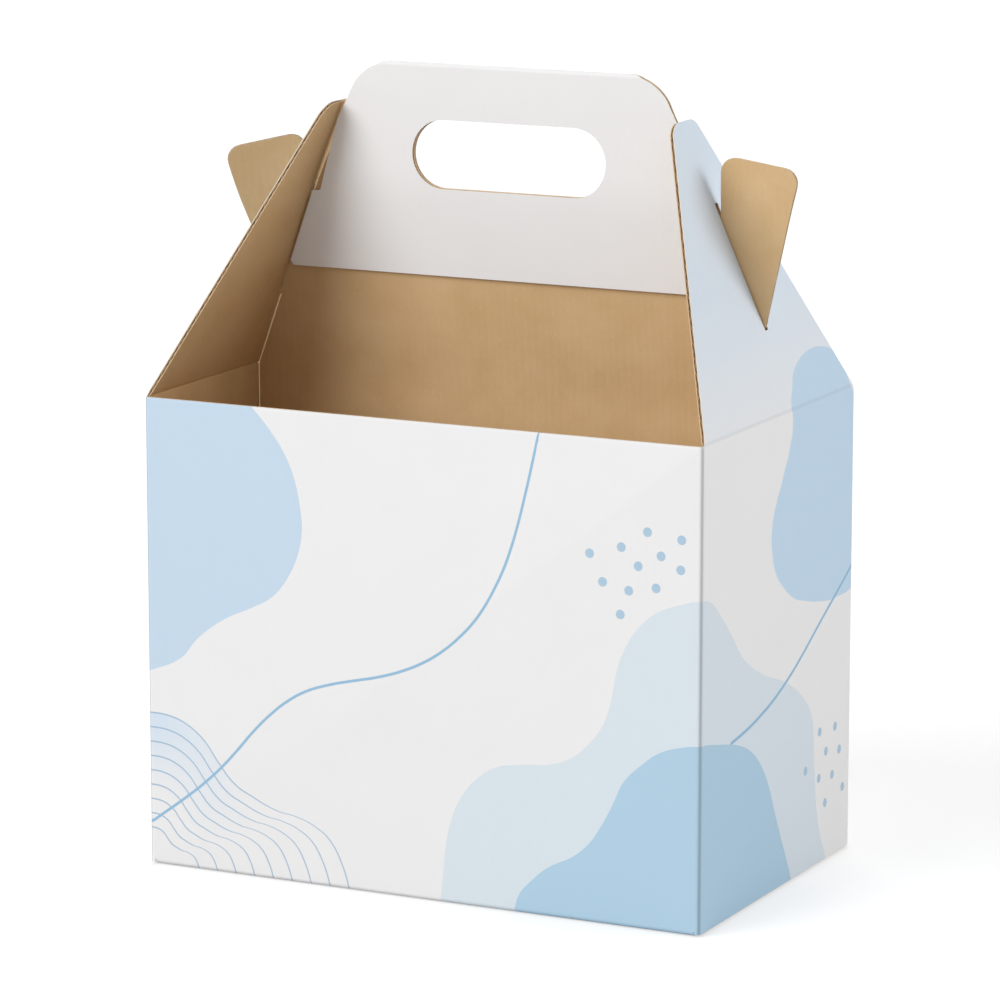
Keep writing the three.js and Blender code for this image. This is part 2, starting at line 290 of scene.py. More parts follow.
def flute_ribbon(sheet):
    """A waved ribbon of paper along every cut edge, with its waves following each other along x"""
    bm = sheet.copy()
    layer = bm.verts.layers.float_vector.new("inward")
    rim = [edge for edge in bm.edges if edge.is_boundary]
    for edge in rim:
        a, b = edge.verts
        normal = Vector((a.co.y - b.co.y, b.co.x - a.co.x, 0)).normalized()
        if normal.dot(edge.link_faces[0].calc_center_median() - (a.co + b.co) / 2) < 0:
            normal.negate()
        for vert in edge.verts:
            vert[layer] = vert[layer] + normal
    inner = [edge for edge in bm.edges if not edge.is_boundary]
    bmesh.ops.delete(bm, geom=bm.faces[:], context="FACES_ONLY")
    bmesh.ops.delete(bm, geom=inner, context="EDGES")
    for vert in bm.verts:
        vert.co += vert[layer].normalized() * EDGE_BACK
    fine = FLUTE_PITCH / STEPS_PER_WAVE
    by_count = {}
    for edge in bm.edges:
        a, b = edge.verts
        run = max(abs(a.co.x - b.co.x), edge.calc_length() / SHARE_ALONG_WAVE)
        cuts = int(run / fine)
        if cuts:
            by_count.setdefault(cuts, []).append(edge)
    for cuts, edges in by_count.items():
        bmesh.ops.subdivide_edges(bm, edges=edges, cuts=cuts)
    made = bmesh.ops.extrude_edge_only(bm, edges=bm.edges[:])
    for vert in [g for g in made["geom"] if isinstance(g, bmesh.types.BMVert)]:
        vert.co += vert[layer].normalized() * RIBBON
    for vert in bm.verts:
        vert.co.z = BOARD / 2 + FLUTE_HEIGHT * math.sin(math.tau * vert.co.x / FLUTE_PITCH)
    bmesh.ops.recalc_face_normals(bm, faces=bm.faces[:])
    bmesh.ops.solidify(bm, geom=bm.faces[:], thickness=FLUTE_PAPER)
    return bm


# %% [markdown]
# ## Carrying the flat sheet into the box
#
# The flat place of every corner is kept as a UV map in metres before the fold moves it. The print and the
# faint flute lines read that map, so they run round the folds without a break, as they do on real board.
# A liner's own face gets its first finish, and its cut edge and glued side the second. The fold at the foot
# of the front and back walls gets a third, because the print of the wall runs onto it.

# %% Fold a flat body and make it an object
def keep_flat_map(bm, flat_place=None):
    """Keeps the flat place as UVs; flat_place turns it into the wall strip's own where the print runs on"""
    uv = bm.loops.layers.uv.new("flat_sheet")
    for face in bm.faces:
        runs_on = flat_place and face.material_index == PRINT_RUNS_ON
        for loop in face.loops:
            loop[uv].uv = flat_place(*loop.vert.co.xy) if runs_on else loop.vert.co.xy


def mark_sides(bm, outside):
    """Slot 0 on the liner's own face, slot 1 on its cut edges and its glued side"""
    for face in bm.faces:
        face.material_index = 0 if face.normal.z * outside > 0.5 else 1


PRINT_RUNS_ON = 2
BLEED = 0.004


def mark_bleed(bm):
    """Slot 2 on the fold at the foot of a wall, which the print of the wall runs onto"""
    for face in bm.faces:
        if face.material_index == 0 and face.calc_center_median().y < BLEED:
            face.material_index = PRINT_RUNS_ON


def fold_up(bm, fold):
    for vert in bm.verts:
        vert.co = fold(*vert.co)


SHARP_EDGE = math.radians(28)


def make_piece(name, parts, materials):
    """Joins folded bodies into one mesh object at the origin"""
    whole = bmesh.new()
    for part in parts:
        mesh = bpy.data.meshes.new(name)
        part.to_mesh(mesh)
        part.free()
        whole.from_mesh(mesh)
        bpy.data.meshes.remove(mesh)
    for face in whole.faces:
        face.smooth = True
    for edge in whole.edges:
        sharp = len(edge.link_faces) == 2 and edge.calc_face_angle() > SHARP_EDGE
        edge.smooth = not sharp
    mesh = bpy.data.meshes.new(name)
    whole.to_mesh(mesh)
    whole.free()
    piece = bpy.data.objects.new(name, mesh)
    bpy.context.scene.collection.objects.link(piece)
    for material in materials:
        mesh.materials.append(material)
    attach(piece, "root")
    print(name, len(mesh.polygons), "faces")
    return piece


# %% [markdown]
# ## Where the flat sheets go
#
# The wall strip uses two walks: up the gable walk for height and inset, then round the wall walk for the
# plan. The crease at the foot of each gable is pressed in a little, so the inside shows a fine score line.
# The left ear isn't flat: beyond the slit that it comes through, it swings towards the front.

# %% The fold of each strip
EAR_POINT, EAR_OUTER, EAR_INNER = (0.0126, 0.031), (-0.0035, 0.0936), (0.0296, 0.0982)
EAR_BEND_RUN, EAR_TURN, EAR_BEND_STEPS = 0.004, math.radians(36), 6
SCORE_UP, SCORE_DEPTH, SCORE_HALF = 0.0003, 0.0003, 0.0011


def score(distance, depth):
    """How far a pressed crease draws both faces towards the middle of the board"""
    press = math.exp(-(distance / SCORE_HALF) ** 2 * 2)
    return depth + (BOARD / 2 - depth) * press * SCORE_DEPTH / (BOARD / 2)


def fold_walls(along, height, depth):
    depth = score(height - BODY_H - SCORE_UP, depth)
    inset, up = gable_walk.place(height, depth)
    plan = walls_walk.place(along, inset)
    return Vector((plan.x, plan.y, up))


def out_of_slit(x, along):
    """How far a point of the left ear lies beyond the slit that it comes through"""
    inset, length = HALF_W + x - EAR_POINT[0], along - back_ply_at(EAR_POINT[1])
    return length * math.sin(LEAN) - inset * math.cos(LEAN)


def fold_handle(x, along, depth):
    middle, ahead, across = handle_walk.frame(along)
    point = Vector((x, middle.x, middle.y))
    kraft_way = Vector((0, across.x, across.y))
    beyond = out_of_slit(x, along)
    if x < 0 and along < CREST and beyond > 0:
        outwards = Vector((-math.cos(LEAN), ahead.x * math.sin(LEAN), ahead.y * math.sin(LEAN)))
        curved = min(beyond, EAR_BEND_RUN)
        radius = EAR_BEND_RUN / EAR_TURN
        turn = curved / radius
        out = radius * math.sin(turn) + (beyond - curved) * math.cos(turn)
        forward = radius * (1 - math.cos(turn)) + (beyond - curved) * math.sin(turn)
        point += outwards * (out - beyond) + kraft_way * forward
        kraft_way = kraft_way * math.cos(turn) - outwards * math.sin(turn)
    return point + kraft_way * (depth - BOARD / 2)


def fold_rear(x, along, depth):
    section = rear_walk.place(along, depth)
    return Vector((x, section.x, section.y))


# %% [markdown]
# ## The wall strip
#
# One outline runs along the foot of all four walls, up the free rear edge, and over both gables. Each gable
# is two straight cuts up to a short, rounded top. The slit for the ear leans with the partition.

# %% Outline of walls and gables, flat
tab_start = walls_walk.runs[8][0]
left_zero = HALF_D - SEAM_IN
right_zero = walls_walk.runs[4][0] + HALF_D - OUTER
GABLE_BASE = BODY_H + 0.0006
GABLE_IN, SHOULDER = 0.0002, 0.0008
SLIT_R = 0.0008
SIDE_FOOT = 0.0007
CORNER_FOOT = 0.0013


def fold_middle(walk, number):
    return walk.runs[number][0] + walk.runs[number][1] / 2


front_left, front_right = fold_middle(walls_walk, 1), fold_middle(walls_walk, 3)
back_right = fold_middle(walls_walk, 5)


def gable_corners(zero, backwards):
    """Corners from the far side of the strip to the near side; backwards is where the rear lies"""
    half = HALF_D - OUTER - GABLE_IN
    tips = sorted(((backwards * GABLE_TIP_FRONT, TIP_FRONT_R), (backwards * GABLE_TIP_BACK, TIP_BACK_R)),
                  reverse=True)
    return [
        (zero + half + SHOULDER, BODY_H), (zero + half, GABLE_BASE),
        (zero + tips[0][0], BODY_H + GABLE_TIP_UP, tips[0][1]),
        (zero + tips[1][0], BODY_H + GABLE_TIP_UP, tips[1][1]),
        (zero - half, GABLE_BASE), (zero - half - SHOULDER, BODY_H),
    ]


def partition_face(up):
    """How far back the partition's front face stands, on its straight leaning stretch"""
    first = BOW_START + BOW_R * math.sin(BOW_ANGLE)
    return FOOT_Y - BOW_R * (1 - math.cos(BOW_ANGLE)) - (up - first) * math.tan(BOW_ANGLE)


def slit_corners(zero, direction):
    corners = []
    for up, side in ((SLIT_LOW, -1), (SLIT_LOW, 1), (SLIT_HIGH, 1), (SLIT_HIGH, -1)):
        middle = partition_face(up) + BOARD / 2 + side * SLIT_W / 2
        corners.append((zero + direction * middle, BODY_H + up / math.cos(LEAN), SLIT_R))
    return corners


side_feet = [
    (0.0, SIDE_FOOT), (front_left + CORNER_FOOT, SIDE_FOOT), (front_left + CORNER_FOOT, OUTER),
    (front_right - CORNER_FOOT, OUTER), (front_right - CORNER_FOOT, SIDE_FOOT),
    (back_right + CORNER_FOOT, SIDE_FOOT), (back_right + CORNER_FOOT, OUTER),
]
wall_outline = (
    side_feet + [(tab_start, OUTER), (tab_start + TAB_W, OUTER + TAB_TAPER),
                 (tab_start + TAB_W, BODY_H - TAB_TAPER), (tab_start, BODY_H)]
    + gable_corners(right_zero, 1) + gable_corners(left_zero, -1)[:-1] + [(0.0, BODY_H)]
)
wall_sheet = flat_sheet([wall_outline, slit_corners(left_zero, -1), slit_corners(right_zero, 1)])
wall_cuts = fold_cuts(walls_walk)
score_cuts = [BODY_H + SCORE_UP + SCORE_HALF * k / 3 for k in (-4, -2, -1, 0, 1, 2, 4)]
print("wall sheet", len(wall_sheet.faces), "faces flat,", len(wall_cuts), "fold cuts")

# %% [markdown]
# ## The handle strip
#
# This outline starts at the front wall's foot, crosses the floor, rises as the partition with its ears and
# notches, passes the crest of the handle, and comes down as the short front ply with a recess at each side.

# %% Outline of floor, partition and handle, flat
EAR_R, NOTCH_R = 0.006, 0.0012
RECESS_LOW, RECESS_HIGH, RECESS_W = 0.074, 0.103, 0.0034
FLOOR_GAP = 0.00008
floor_half = HALF_W - BOARD - SIDE_GAP
floor_reach = HALF_W - BOARD - FLOOR_GAP
BY_FOLD, BY_FOLD_STEP = 0.0022, 0.0003
FLOOR_PAST, FLOOR_STEP = 0.002, 0.001
EAR_POINT_R = 0.0012
CREST_HALF, CREST_SLOT = 0.0520, 0.0003
HOLE_FLAT = 0.00005
handle_half = inside_half(HANDLE_TOP) - HANDLE_TAPER


def floor_side(end):
    """Side edge of a floor panel: narrow at its first fold, then wide enough almost to meet the wall"""
    return [(floor_half, 0.0), (floor_half, BY_FOLD), (floor_reach, BY_FOLD + BY_FOLD_STEP),
            (floor_reach, end)]


def ear(corner, radius):
    return (HALF_W - corner[0], back_ply_at(corner[1]), radius)


handle_right = [
    *floor_side(FOOT + FLOOR_PAST), (floor_half, FOOT + FLOOR_PAST + FLOOR_STEP),
    (floor_half, back_ply_at(0)), (inside_half(SLIT_LOW), back_ply_at(SLIT_LOW)),
    ear(EAR_POINT, EAR_POINT_R), ear(EAR_OUTER, EAR_R), ear(EAR_INNER, EAR_R),
    (HALF_W - EAR_INNER[0], back_ply_at(NOTCH_UP), NOTCH_R),
    (inside_half(NOTCH_UP), back_ply_at(NOTCH_UP), NOTCH_R),
    (handle_half, CREST - CREST_SLOT, HANDLE_CORNER_R),
    (CREST_HALF, CREST - CREST_SLOT), (CREST_HALF, CREST + CREST_SLOT),
    (handle_half, CREST + CREST_SLOT, HANDLE_CORNER_R),
    (inside_half(RECESS_HIGH), front_ply_at(RECESS_HIGH)),
    (inside_half(RECESS_LOW) - RECESS_W, front_ply_at(RECESS_LOW), RECESS_W / 3),
    (inside_half(RECESS_LOW), front_ply_at(RECESS_LOW)),
    (inside_half(PLY_BOTTOM + PLY_NIP), front_ply_at(PLY_BOTTOM + PLY_NIP)),
    (inside_half(PLY_BOTTOM) - PLY_NIP, front_ply_at(PLY_BOTTOM)),
]


def hole_corners(at):
    radius = HOLE_H / 2 - HOLE_FLAT
    right = [(HOLE_W / 2, at(HOLE_UP - HOLE_H / 2), radius), (HOLE_W / 2, at(HOLE_UP + HOLE_H / 2), radius)]
    return both_sides(right)


handle_sheet = flat_sheet([both_sides(handle_right), hole_corners(back_ply_at), hole_corners(front_ply_at)])
handle_cuts = fold_cuts(handle_walk)
print("handle sheet", len(handle_sheet.faces), "faces flat,", len(handle_cuts), "fold cuts")


# %% Fine cuts across the bend of the left ear
def cut_left_ear(bm):
    slope = Vector((-math.cos(LEAN), math.sin(LEAN), 0))
    root = Vector((EAR_POINT[0] - HALF_W, back_ply_at(EAR_POINT[1]), 0))
    for step in range(EAR_BEND_STEPS + 1):
        at = root + slope * EAR_BEND_RUN * step / EAR_BEND_STEPS
        faces = [f for f in bm.faces if any(v.co.x < 0 and v.co.y < CREST and (v.co - at).dot(slope) > 0
                                            and v.co.y > root.y for v in f.verts)]
        geom = set(faces) | {e for f in faces for e in f.edges} | {v for f in faces for v in f.verts}
        bmesh.ops.bisect_plane(bm, geom=list(geom), dist=TOUCH, plane_co=at, plane_no=slope)


# %% The rear floor panel with its glued foot tab
FOOT_TAB_IN = 0.006
tab_fold = rear_walk.runs[3][0]
rear_right = [*floor_side(tab_fold), (floor_half - FOOT_TAB_IN, rear_walk.length)]
rear_sheet = flat_sheet([both_sides(rear_right)])
rear_cuts = fold_cuts(rear_walk)

# %% [markdown]
# ## Finishes
#
# Light board colours are written as they should read in plain light. A helper turns a colour as a screen
# shows it into the linear numbers that the shader wants.

# %% Node helpers
def screen(red, green, blue):
    def linear(value):
        value /= 255
        return value / 12.92 if value <= 0.04045 else ((value + 0.055) / 1.055) ** 2.4
    return (linear(red), linear(green), linear(blue), 1.0)


class Nodes:
    """Short names for building a node tree"""
    def __init__(self, tree):
        self.tree = tree

    def put(self, kind, **values):
        node = self.tree.nodes.new(kind)
        for name, value in values.items():
            setattr(node, name, value)
        return node

    def feed(self, socket, value):
        if hasattr(value, "is_output"):
            self.tree.links.new(value, socket)
        else:
            socket.default_value = value

    def math(self, operation, *values, clamp=False):
        node = self.put("ShaderNodeMath", operation=operation, use_clamp=clamp)
        for socket, value in zip(node.inputs, values):
            self.feed(socket, value)
        return node.outputs[0]

    def mix(self, factor, first, second):
        node = self.put("ShaderNodeMix", data_type="RGBA")
        self.feed(node.inputs[0], factor)
        self.feed(node.inputs[6], first)
        self.feed(node.inputs[7], second)
        return node.outputs[2]

    def noise(self, vector, scale, detail, rough):
        node = self.put("ShaderNodeTexNoise")
        self.feed(node.inputs["Vector"], vector)
        node.inputs["Scale"].default_value = scale
        node.inputs["Detail"].default_value = detail
        node.inputs["Roughness"].default_value = rough
        return node.outputs["Fac"]

    def stretch(self, vector, size):
        node = self.put("ShaderNodeMapping")
        self.feed(node.inputs["Vector"], vector)
        node.inputs["Scale"].default_value = size
        return node.outputs[0]

    def curve(self, value, points):
        """A smooth graph through points given in 0 to 1"""
        node = self.put("ShaderNodeFloatCurve")
        self.feed(node.inputs["Value"], value)
        graph = node.mapping.curves[0]
        node.mapping.extend = "HORIZONTAL"
        while len(graph.points) < len(points):
            graph.points.new(0.5, 0.5)
        for point, place in zip(graph.points, sorted(points)):
            point.location = place
        node.mapping.update()
        return node.outputs[0]


# %% [markdown]
# ### A shared effect: the surface of board
#
# Every paper of this box shows two things in raking light: faint lines where the waved layer is glued
# behind it, and a fine uneven grain. One node group makes both, and each finish sets its own amounts.

# %% The board surface group
WAVE_NODE_RATE = 20
LINE_WANDER = 0.6
GRAIN_SCALE, CLOUD_SCALE, FIBRE_SCALE = 1400, 38, 1900
FIBRE_STRETCH = (1.0, 0.22, 1.0)
surface = bpy.data.node_groups.new("board_surface", "ShaderNodeTree")
for name, kind, way in (("Flat", "NodeSocketVector", "INPUT"), ("Lines", "NodeSocketFloat", "INPUT"),
                        ("Grain", "NodeSocketFloat", "INPUT"), ("Height", "NodeSocketFloat", "OUTPUT"),
                        ("Cloud", "NodeSocketFloat", "OUTPUT"), ("Fibre", "NodeSocketFloat", "OUTPUT")):
    surface.interface.new_socket(name, in_out=way, socket_type=kind)
g = Nodes(surface)
group_in, group_out = g.put("NodeGroupInput"), g.put("NodeGroupOutput")
flat = group_in.outputs["Flat"]
wave = g.put("ShaderNodeTexWave", wave_type="BANDS", bands_direction="X")
g.feed(wave.inputs["Vector"], flat)
wave.inputs["Scale"].default_value = math.tau / (FLUTE_PITCH * WAVE_NODE_RATE)
wave.inputs["Distortion"].default_value = LINE_WANDER
grain = g.noise(flat, GRAIN_SCALE, detail=4.0, rough=0.6)
cloud = g.noise(flat, CLOUD_SCALE, detail=3.0, rough=0.55)
fibre = g.noise(g.stretch(flat, FIBRE_STRETCH), FIBRE_SCALE, detail=2.0, rough=0.7)
lines = g.math("MULTIPLY", wave.outputs["Fac"], group_in.outputs["Lines"])
rough = g.math("MULTIPLY", grain, group_in.outputs["Grain"])
g.feed(group_out.inputs["Height"], g.math("ADD", lines, rough))
g.feed(group_out.inputs["Cloud"], cloud)
g.feed(group_out.inputs["Fibre"], fibre)


# %% Start a finish: flat map, board surface, bump and shader
BUMP_DEPTH = 0.0002


def begin(name, lines, grain_amount, bump, roughness, specular):
    material = bpy.data.materials.new(name)
    material.use_nodes = True
    n = Nodes(material.node_tree)
    shader = n.tree.nodes["Principled BSDF"]
    shader.inputs["Specular IOR Level"].default_value = specular
    shader.inputs["Roughness"].default_value = roughness
    flat_map = n.put("ShaderNodeUVMap", uv_map="flat_sheet").outputs[0]
    board = n.put("ShaderNodeGroup", node_tree=surface)
    n.feed(board.inputs["Flat"], flat_map)
    board.inputs["Lines"].default_value = lines
    board.inputs["Grain"].default_value = grain_amount
    node = n.put("ShaderNodeBump")
    node.inputs["Strength"].default_value = bump
    node.inputs["Distance"].default_value = BUMP_DEPTH
    n.feed(node.inputs["Height"], board.outputs["Height"])
    n.feed(shader.inputs["Normal"], node.outputs[0])
    return material, n, shader, board, flat_map


# %% [markdown]
# ### Kraft paper
#
# Bare kraft is warm brown with a cloudy tone, darker fibres and a few pale ones. The cut edges of both
# liners are lighter, and the waved paper between them is a little darker.

# %% Kraft faces and cut edges
CLOUD_RAMP = (1.6, -0.3)
PALE_FIBRE_RAMP, DARK_FIBRE_RAMP = (5.0, -2.9), (-5.0, 1.75)
FIBRE_SHARE = 0.35


def kraft(name, base, dark, pale, lines=0.0):
    material, n, shader, board, _ = begin(name, lines, grain_amount=0.7, bump=0.35, roughness=0.86,
                                          specular=0.18)
    cloudy = n.mix(n.math("MULTIPLY_ADD", board.outputs["Cloud"], *CLOUD_RAMP, clamp=True), dark, base)
    pale_fibre = n.math("MULTIPLY_ADD", board.outputs["Fibre"], *PALE_FIBRE_RAMP, clamp=True)
    dark_fibre = n.math("MULTIPLY_ADD", board.outputs["Fibre"], *DARK_FIBRE_RAMP, clamp=True)
    tone = n.mix(n.math("MULTIPLY", pale_fibre, FIBRE_SHARE), cloudy, pale)
    n.feed(shader.inputs["Base Color"], n.mix(n.math("MULTIPLY", dark_fibre, FIBRE_SHARE), tone, dark))
    return material


kraft_face = kraft("kraft_face", screen(217, 185, 142), screen(203, 168, 121), screen(233, 209, 174),
                   lines=0.5)
kraft_edge = kraft("kraft_edge", screen(226, 201, 167), screen(203, 173, 137), screen(240, 222, 195))
flute_paper = kraft("flute_paper", screen(204, 172, 134), screen(182, 149, 111), screen(222, 195, 160))

# %% [markdown]
# ### White coated liner
#
# The outside of the sheet has a matt white coat. It is almost plain: a very faint cloud keeps it from
# looking like plastic, and the flute lines show only as a whisper.

# %% Plain white coat and the edge of the white liner
WHITE = screen(240, 239, 239)
WHITE_SHADE = screen(237, 236, 236)


def coated(name):
    material, n, shader, board, flat_map = begin(name, lines=0.6, grain_amount=0.25, bump=0.16,
                                                 roughness=0.62, specular=0.28)
    white = n.mix(board.outputs["Cloud"], WHITE_SHADE, WHITE)
    return material, n, shader, white, flat_map


white_coat, n, shader, white, _ = coated("white_coat")
n.feed(shader.inputs["Base Color"], white)
liner_edge = kraft("liner_edge", screen(236, 224, 205), screen(219, 203, 180), screen(244, 236, 222))

# %% [markdown]
# ### The print
#
# The print is soft blobs, thin wandering lines and small dots in pale blues. Each blob edge is a graph: a
# height for each place along the walls, a place for each height, or a reach for each direction in degrees
# from a centre. The shader compares a point with its graph, so an edge stays sharp at any distance, and the
# flat map carries it round corners.

# %% Places on the flat sheet, in millimetres from the front left corner
MM = 1000
EDGE_SOFT = 0.12
SIDE = 240.0

left_blob_right = [(0, -72), (30, -60), (62, -42), (79, 0), (86, 14.9), (93, 20.9), (99, 27.9),
                   (104, 35.9), (109, 46.9), (115, 56.9), (124, 63.9), (133, 67.9), (142, 69.5),
                   (150, 68.9), (160, 66.9), (170, 62.9), (180, 55.9), (189, 47.4), (200, 34.9),
                   (210, 18.7), (218, 0), (226, -25), (240, -70)]
pale_blob_top = [(125.3, -8), (130, 0), (131.3, 15), (134.9, 34), (139.7, 44), (145.7, 51), (153.9, 56.6),
                 (165.3, 59), (177.3, 60.4), (185.3, 63.3), (193.3, 69.7), (199.7, 78), (203.3, 88),
                 (205.1, 98), (208.3, 107.5), (215, 118), (222.8, 124.5), (231.8, 128), (240, 130),
                 (247, 128.4), (257, 121), (268, 110.6), (279, 100), (296, 90.7), (320, 82.3), (334, 75),
                 (345, 66), (349.5, 57), (350.5, 42), (353.7, 22), (358, 10.7), (363, 1.7), (366, -8)]
blue_blob_top = [(159.3, -8), (162.1, 1), (164.3, 7.5), (169.3, 13.3), (177.3, 20), (186.9, 25),
                 (193.6, 30.6), (199.5, 39), (204.3, 48), (208.7, 57), (216.3, 64.6), (224.3, 70.3),
                 (232.3, 73), (240, 74.2), (247, 73.3), (254, 71.8), (261, 70.4), (268, 68.8),
                 (276.6, 66.3), (285.8, 62.4), (293, 57.5), (299.4, 51.2), (305, 43.3), (311, 31.8),
                 (317.8, 19.4), (323.6, 9.1), (327.4, 2), (331, -8)]
long_line = [(-59.4, -12), (-0.4, 17), (4.6, 20.6), (14.7, 28), (24.7, 36), (32.8, 43.5), (39.8, 51),
             (46.8, 59), (54.9, 67), (62.4, 73), (70.6, 77.8), (81.2, 81.6), (91.8, 84.3), (102.3, 86.8),
             (112.8, 90.2), (123.2, 95), (131.5, 100.4), (138.8, 106.7), (144.6, 112.9), (149.9, 120.4),
             (154, 127.7), (157.7, 135.4), (161.2, 144.9), (164.1, 154.6), (166.6, 164.2),
             (168.9, 173.6), (171.1, 183.2), (172.7, 190.5)]
side_line = [(266.8, 69.3), (278.6, 70.8), (288.1, 72.4), (297, 74.4), (305.4, 76.6), (312.7, 79),
             (325.9, 84.3), (337.3, 89.8), (347.9, 95.5), (358.8, 101.3), (370.5, 107.4), (388, 117),
             (410, 132), (440, 165), (470, 205)]
ring_reach = [(0, 89.6), (7, 86.8), (13, 83.4), (18, 77.7), (22, 71.3), (27, 62.9), (35, 56.7),
              (44, 53.1), (55, 54.3), (65.5, 58.5), (73.5, 60.9), (80, 61.9), (90, 61.9)]
corner_blob_reach = [(0, 58.3), (17, 51.2), (30, 46.1), (44, 40.4), (56, 49.6), (64, 50.5), (76, 49.7),
                     (90, 48.4), (102, 47.5), (116, 46.5), (125, 44.7), (135, 44.2), (141, 40),
                     (154.5, 37), (171.5, 40), (184, 45.8), (193, 51.4), (205, 55.6), (215, 56.7),
                     (226, 55.3), (238.6, 53.8), (256.7, 51.7), (280, 54.6), (300, 61.3), (312, 65),
                     (325, 66), (338, 64.6), (351, 61.8), (360, 58.3)]
CORNER_BLOB = (356.0, 160.0)
LONG_LINE_W, SIDE_LINE_W, DOT_R = 1.1, 1.4, 1.85
RING_STEP, RING_COUNT, RING_HALF_W, RING_INK = 0.095, 8, 0.3, 0.9
front_dots = [(194, 144.5), (207.3, 148.1), (218.2, 154.8), (232.4, 153), (223.9, 146.1), (214.4, 141.4),
              (232.1, 141.5), (199.5, 134), (210.5, 131.6), (221.9, 133.6), (207, 122.1)]
side_dots = [(355.8, 54.3), (371.7, 53.2), (362.5, 45), (376.4, 42.7), (341.6, 41.5), (355.4, 35.4),
             (369.2, 33.9), (380.2, 26.4), (362.1, 23.9)]

# %% Inks, as they read on the white liner
INK_LEFT = screen(198, 218, 235)
INK_PALE = screen(218, 228, 235)
INK_BLUE = screen(178, 208, 228)
INK_CORNER = screen(196, 219, 238)
INK_LINE = screen(150, 190, 218)
INK_RINGS = screen(158, 186, 211)
INK_DOTS = screen(176, 202, 222)
INK_TINT = screen(214, 227, 240)
INK_GABLE = screen(219, 230, 241)
# Not an ink: the grey of the painted shade along the fold creases, used further down
CREASE_PAINTED_SHADE = screen(120, 128, 136)


# %% Masks from graphs
def inside(n, amount):
    """One where the amount, in millimetres, is above zero, with a soft edge"""
    return n.math("MULTIPLY_ADD", amount, 1 / EDGE_SOFT, 0.5, clamp=True)


def graph(n, value, points, low, high, floor, ceiling):
    """Reads a graph given in millimetres or degrees"""
    scaled = [((x - low) / (high - low), (y - floor) / (ceiling - floor)) for x, y in points]
    place = n.math("DIVIDE", n.math("SUBTRACT", value, low), high - low)
    return n.math("MULTIPLY_ADD", n.curve(place, scaled), ceiling - floor, floor)


def between(n, value, low, high):
    return n.math("MULTIPLY", n.math("GREATER_THAN", value, low), n.math("LESS_THAN", value, high))


def graph_line(n, x, z, points, width, low, high):
    """A printed line along a graph, kept at an even width by the graph's own slope"""
    step = 0.5
    here = graph(n, x, points, low, high, floor=-20, ceiling=220)
    ahead = graph(n, n.math("ADD", x, step), points, low, high, floor=-20, ceiling=220)
    slope = n.math("MULTIPLY", n.math("SUBTRACT", ahead, here), 1 / step)
    lengthen = n.math("SQRT", n.math("MULTIPLY_ADD", slope, slope, 1.0))
    distance = n.math("DIVIDE", n.math("ABSOLUTE", n.math("SUBTRACT", z, here)), lengthen)
    return n.math("MULTIPLY", inside(n, n.math("SUBTRACT", width / 2, distance)), between(n, x, low, high))


def polar(n, x, z, centre):
    """Reach from a centre in millimetres and direction in degrees, 0 to 360"""
    dx, dz = n.math("SUBTRACT", x, centre[0]), n.math("SUBTRACT", z, centre[1])
    reach = n.math("SQRT", n.math("MULTIPLY_ADD", dx, dx, n.math("MULTIPLY", dz, dz)))
    turn = n.math("MULTIPLY", n.math("ARCTAN2", dz, dx), 180 / math.pi)
    return reach, n.math("FLOORED_MODULO", turn, 360.0)


# %% The printed liner: a tint that grows up the gables, then the blobs
# On the left wall the left blob is the front's graph again, mirrored, narrowed and shifted
GABLE_TINT_RUN, GABLE_TINT_START = 75, 0.30
LEFT_SHARE, LEFT_SHIFT = -0.75, -6.0
# This finish carries the print and also the painted shade of the fold creases
printed, n, shader, white, flat_map = coated("print_and_crease_shade_coat")
split = n.put("ShaderNodeSeparateXYZ")
n.feed(split.inputs[0], flat_map)
x = n.math("MULTIPLY", n.math("SUBTRACT", split.outputs[0], front_left), SIDE / (front_right - front_left))
z = n.math("MULTIPLY", split.outputs[1], MM)
above_rim = n.math("MULTIPLY_ADD", z, 1 / GABLE_TINT_RUN, GABLE_TINT_START - BODY_H * MM / GABLE_TINT_RUN,
                   clamp=True)
on_gable = n.math("GREATER_THAN", z, BODY_H * MM)
tone = n.mix(n.math("MULTIPLY", above_rim, on_gable), white, INK_GABLE)
left_edge = graph(n, z, left_blob_right, low=0, high=240, floor=-80, ceiling=80)
left_far = n.math("MULTIPLY_ADD", left_edge, LEFT_SHARE, LEFT_SHIFT)
left_mask = n.math("MULTIPLY", inside(n, n.math("SUBTRACT", left_edge, x)),
                   inside(n, n.math("SUBTRACT", x, left_far)))
tone = n.mix(left_mask, tone, INK_LEFT)
pale_top = graph(n, x, pale_blob_top, low=120, high=370, floor=-20, ceiling=140)
pale_mask = n.math("MULTIPLY", inside(n, n.math("SUBTRACT", pale_top, z)), between(n, x, low=124, high=366))
tone = n.mix(pale_mask, tone, INK_PALE)
blue_top = graph(n, x, blue_blob_top, low=150, high=340, floor=-20, ceiling=90)
blue_mask = n.math("MULTIPLY", inside(n, n.math("SUBTRACT", blue_top, z)), between(n, x, low=158, high=331))
tone = n.mix(blue_mask, tone, INK_BLUE)
reach, turn = polar(n, x, z, CORNER_BLOB)
corner_edge = graph(n, turn, corner_blob_reach, low=0, high=360, floor=20, ceiling=70)
tone = n.mix(inside(n, n.math("SUBTRACT", corner_edge, reach)), tone, INK_CORNER)

